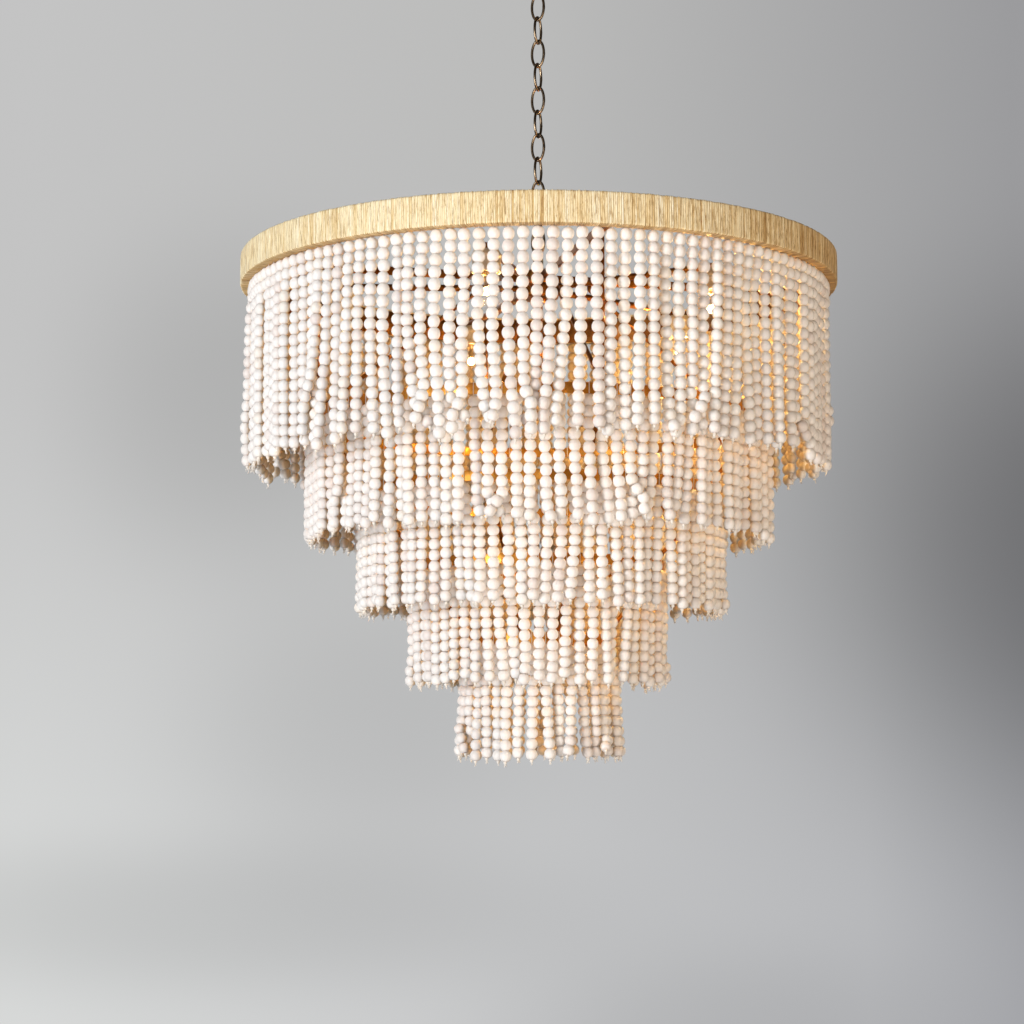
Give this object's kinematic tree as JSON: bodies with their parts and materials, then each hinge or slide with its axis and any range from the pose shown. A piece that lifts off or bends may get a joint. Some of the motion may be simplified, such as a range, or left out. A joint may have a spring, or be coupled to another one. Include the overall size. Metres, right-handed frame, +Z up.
{
  "type": "beaded chandelier",
  "caption": "Tiered chandelier: skirts of wooden bead strands under a fibre-wrapped ring, with lamps inside, hung on a chain from a ceiling canopy.",
  "frame": {"origin": "centre of the ceiling plate's flat top face, against the ceiling", "axes": "+Z up into the ceiling, -Y towards the viewer of the picture, +X to the viewer's right"},
  "size_m": [0.6986, 0.6986, 0.973],
  "materials": {
    "antique_brass": "aged satin brass",
    "dark_bronze": "dark bronze paint",
    "raffia": "natural plant fibre, wound side by side",
    "white_wood": "whitewashed matt wood",
    "warm_glass": "frosted lamp glass",
    "ivory_holder": "plain ivory lampholder"
  },
  "bodies": {
    "ceiling_mount": {"ceiling_plate": "dark_bronze", "canopy": "antique_brass", "canopy_loop": "antique_brass"},
    "link_01": {"chain_link_01": "antique_brass"},
    "link_02": {"chain_link_02": "antique_brass"},
    "link_03": {"chain_link_03": "antique_brass"},
    "link_04": {"chain_link_04": "antique_brass"},
    "link_05": {"chain_link_05": "antique_brass"},
    "link_06": {"chain_link_06": "antique_brass"},
    "link_07": {"chain_link_07": "antique_brass"},
    "link_08": {"chain_link_08": "antique_brass"},
    "link_09": {"chain_link_09": "antique_brass"},
    "link_10": {"chain_link_10": "antique_brass"},
    "link_11": {"chain_link_11": "antique_brass"},
    "frame": {"hub_eye": "antique_brass", "spider": "dark_bronze", "ring_core": "antique_brass", "ring_wrap": "raffia", "column": "dark_bronze", "lamp_body": "dark_bronze", "rib_1": "antique_brass", "rib_2": "antique_brass", "rib_3": "antique_brass", "rib_4": "antique_brass", "lampholder_1": "ivory_holder", "lampholder_2": "ivory_holder", "lampholder_3": "ivory_holder", "lampholder_4": "ivory_holder", "lampholder_5": "ivory_holder", "hoop_2": "antique_brass", "hoop_3": "antique_brass", "hoop_4": "antique_brass", "hoop_5": "antique_brass"},
    "lamp_body_1": {"lamp_1": "warm_glass"},
    "lamp_body_2": {"lamp_2": "warm_glass"},
    "lamp_body_3": {"lamp_3": "warm_glass"},
    "lamp_body_4": {"lamp_4": "warm_glass"},
    "lamp_body_5": {"lamp_5": "warm_glass"},
    "tier_1_panel_1": {"tier_1_strands_1": "white_wood"},
    "tier_1_panel_2": {"tier_1_strands_2": "white_wood"},
    "tier_1_panel_3": {"tier_1_strands_3": "white_wood"},
    "tier_1_panel_4": {"tier_1_strands_4": "white_wood"},
    "tier_1_panel_5": {"tier_1_strands_5": "white_wood"},
    "tier_1_panel_6": {"tier_1_strands_6": "white_wood"},
    "tier_2_panel_1": {"tier_2_strands_1": "white_wood"},
    "tier_2_panel_2": {"tier_2_strands_2": "white_wood"},
    "tier_2_panel_3": {"tier_2_strands_3": "white_wood"},
    "tier_2_panel_4": {"tier_2_strands_4": "white_wood"},
    "tier_2_panel_5": {"tier_2_strands_5": "white_wood"},
    "tier_3_panel_1": {"tier_3_strands_1": "white_wood"},
    "tier_3_panel_2": {"tier_3_strands_2": "white_wood"},
    "tier_3_panel_3": {"tier_3_strands_3": "white_wood"},
    "tier_3_panel_4": {"tier_3_strands_4": "white_wood"},
    "tier_4_panel_1": {"tier_4_strands_1": "white_wood"},
    "tier_4_panel_2": {"tier_4_strands_2": "white_wood"},
    "tier_4_panel_3": {"tier_4_strands_3": "white_wood"},
    "tier_4_panel_4": {"tier_4_strands_4": "white_wood"},
    "tier_5_panel_1": {"tier_5_strands_1": "white_wood"},
    "tier_5_panel_2": {"tier_5_strands_2": "white_wood"},
    "tier_5_panel_3": {"tier_5_strands_3": "white_wood"}
  },
  "joints": [
    {"name": "link_01_swing", "type": "hinge", "parent": "ceiling_mount", "child": "link_01", "pos_m": [0, 0, -0.063], "axis": [0.4695, 0.8829, 0], "range_deg": [-6, 6]},
    {"name": "link_02_swing", "type": "hinge", "parent": "link_01", "child": "link_02", "pos_m": [0, 0, -0.0915], "axis": [0.8829, -0.4695, 0], "range_deg": [-6, 6]},
    {"name": "link_03_swing", "type": "hinge", "parent": "link_02", "child": "link_03", "pos_m": [0, 0, -0.1202], "axis": [0.4695, 0.8829, 0], "range_deg": [-6, 6]},
    {"name": "link_04_swing", "type": "hinge", "parent": "link_03", "child": "link_04", "pos_m": [0, 0, -0.1489], "axis": [0.8829, -0.4695, 0], "range_deg": [-6, 6]},
    {"name": "link_05_swing", "type": "hinge", "parent": "link_04", "child": "link_05", "pos_m": [0, 0, -0.1776], "axis": [0.4695, 0.8829, 0], "range_deg": [-6, 6]},
    {"name": "link_06_swing", "type": "hinge", "parent": "link_05", "child": "link_06", "pos_m": [0, 0, -0.2063], "axis": [0.8829, -0.4695, 0], "range_deg": [-6, 6]},
    {"name": "link_07_swing", "type": "hinge", "parent": "link_06", "child": "link_07", "pos_m": [0, 0, -0.235], "axis": [0.4695, 0.8829, 0], "range_deg": [-6, 6]},
    {"name": "link_08_swing", "type": "hinge", "parent": "link_07", "child": "link_08", "pos_m": [0, 0, -0.2637], "axis": [0.8829, -0.4695, 0], "range_deg": [-6, 6]},
    {"name": "link_09_swing", "type": "hinge", "parent": "link_08", "child": "link_09", "pos_m": [0, 0, -0.2924], "axis": [0.4695, 0.8829, 0], "range_deg": [-6, 6]},
    {"name": "link_10_swing", "type": "hinge", "parent": "link_09", "child": "link_10", "pos_m": [0, 0, -0.3211], "axis": [0.8829, -0.4695, 0], "range_deg": [-6, 6]},
    {"name": "link_11_swing", "type": "hinge", "parent": "link_10", "child": "link_11", "pos_m": [0, 0, -0.3498], "axis": [0.4695, 0.8829, 0], "range_deg": [-6, 6]},
    {"name": "frame_swing", "type": "hinge", "parent": "link_11", "child": "frame", "pos_m": [0, 0, -0.3785], "axis": [0.8829, -0.4695, 0], "range_deg": [-6, 6]},
    {"name": "lamp_1_out", "type": "slide", "parent": "frame", "child": "lamp_body_1", "axis": [0, 0, -1], "range_m": [0, 0.024]},
    {"name": "lamp_2_out", "type": "slide", "parent": "frame", "child": "lamp_body_2", "axis": [0, 0, -1], "range_m": [0, 0.024]},
    {"name": "lamp_3_out", "type": "slide", "parent": "frame", "child": "lamp_body_3", "axis": [0, 0, -1], "range_m": [0, 0.024]},
    {"name": "lamp_4_out", "type": "slide", "parent": "frame", "child": "lamp_body_4", "axis": [0, 0, -1], "range_m": [0, 0.024]},
    {"name": "lamp_5_out", "type": "slide", "parent": "frame", "child": "lamp_body_5", "axis": [0, 0, -1], "range_m": [0, 0.024]},
    {"name": "tier_1_swing_1", "type": "hinge", "parent": "frame", "child": "tier_1_panel_1", "pos_m": [0, -0.32222, -0.425], "axis": [-1, 0, 0], "range_deg": [0, 10]},
    {"name": "tier_1_swing_2", "type": "hinge", "parent": "frame", "child": "tier_1_panel_2", "pos_m": [0.27905, -0.16111, -0.425], "axis": [-0.5, -0.866, 0], "range_deg": [0, 10]},
    {"name": "tier_1_swing_3", "type": "hinge", "parent": "frame", "child": "tier_1_panel_3", "pos_m": [0.27905, 0.16111, -0.425], "axis": [0.5, -0.866, 0], "range_deg": [0, 10]},
    {"name": "tier_1_swing_4", "type": "hinge", "parent": "frame", "child": "tier_1_panel_4", "pos_m": [0, 0.32222, -0.425], "axis": [1, 0, 0], "range_deg": [0, 10]},
    {"name": "tier_1_swing_5", "type": "hinge", "parent": "frame", "child": "tier_1_panel_5", "pos_m": [-0.27905, 0.16111, -0.425], "axis": [0.5, 0.866, 0], "range_deg": [0, 10]},
    {"name": "tier_1_swing_6", "type": "hinge", "parent": "frame", "child": "tier_1_panel_6", "pos_m": [-0.27905, -0.16111, -0.425], "axis": [-0.5, 0.866, 0], "range_deg": [0, 10]},
    {"name": "tier_2_swing_1", "type": "hinge", "parent": "frame", "child": "tier_2_panel_1", "pos_m": [0, -0.24969, -0.586], "axis": [-1, 0, 0], "range_deg": [0, 10]},
    {"name": "tier_2_swing_2", "type": "hinge", "parent": "frame", "child": "tier_2_panel_2", "pos_m": [0.23747, -0.07716, -0.586], "axis": [-0.309, -0.9511, 0], "range_deg": [0, 10]},
    {"name": "tier_2_swing_3", "type": "hinge", "parent": "frame", "child": "tier_2_panel_3", "pos_m": [0.14677, 0.20201, -0.586], "axis": [0.809, -0.5878, 0], "range_deg": [0, 10]},
    {"name": "tier_2_swing_4", "type": "hinge", "parent": "frame", "child": "tier_2_panel_4", "pos_m": [-0.14677, 0.20201, -0.586], "axis": [0.809, 0.5878, 0], "range_deg": [0, 10]},
    {"name": "tier_2_swing_5", "type": "hinge", "parent": "frame", "child": "tier_2_panel_5", "pos_m": [-0.23747, -0.07716, -0.586], "axis": [-0.309, 0.9511, 0], "range_deg": [0, 10]},
    {"name": "tier_3_swing_1", "type": "hinge", "parent": "frame", "child": "tier_3_panel_1", "pos_m": [0, -0.18785, -0.671], "axis": [-1, 0, 0], "range_deg": [0, 10]},
    {"name": "tier_3_swing_2", "type": "hinge", "parent": "frame", "child": "tier_3_panel_2", "pos_m": [0.18785, 0, -0.671], "axis": [0, -1, 0], "range_deg": [0, 10]},
    {"name": "tier_3_swing_3", "type": "hinge", "parent": "frame", "child": "tier_3_panel_3", "pos_m": [0, 0.18785, -0.671], "axis": [1, 0, 0], "range_deg": [0, 10]},
    {"name": "tier_3_swing_4", "type": "hinge", "parent": "frame", "child": "tier_3_panel_4", "pos_m": [-0.18785, 0, -0.671], "axis": [0, 1, 0], "range_deg": [0, 10]},
    {"name": "tier_4_swing_1", "type": "hinge", "parent": "frame", "child": "tier_4_panel_1", "pos_m": [0, -0.13146, -0.756], "axis": [-1, 0, 0], "range_deg": [0, 10]},
    {"name": "tier_4_swing_2", "type": "hinge", "parent": "frame", "child": "tier_4_panel_2", "pos_m": [0.13146, 0, -0.756], "axis": [0, -1, 0], "range_deg": [0, 10]},
    {"name": "tier_4_swing_3", "type": "hinge", "parent": "frame", "child": "tier_4_panel_3", "pos_m": [0, 0.13146, -0.756], "axis": [1, 0, 0], "range_deg": [0, 10]},
    {"name": "tier_4_swing_4", "type": "hinge", "parent": "frame", "child": "tier_4_panel_4", "pos_m": [-0.13146, 0, -0.756], "axis": [0, 1, 0], "range_deg": [0, 10]},
    {"name": "tier_5_swing_1", "type": "hinge", "parent": "frame", "child": "tier_5_panel_1", "pos_m": [0, -0.07187, -0.841], "axis": [-1, 0, 0], "range_deg": [0, 10]},
    {"name": "tier_5_swing_2", "type": "hinge", "parent": "frame", "child": "tier_5_panel_2", "pos_m": [0.06225, 0.03594, -0.841], "axis": [0.5, -0.866, 0], "range_deg": [0, 10]},
    {"name": "tier_5_swing_3", "type": "hinge", "parent": "frame", "child": "tier_5_panel_3", "pos_m": [-0.06225, 0.03594, -0.841], "axis": [0.5, 0.866, 0], "range_deg": [0, 10]}
  ]
}
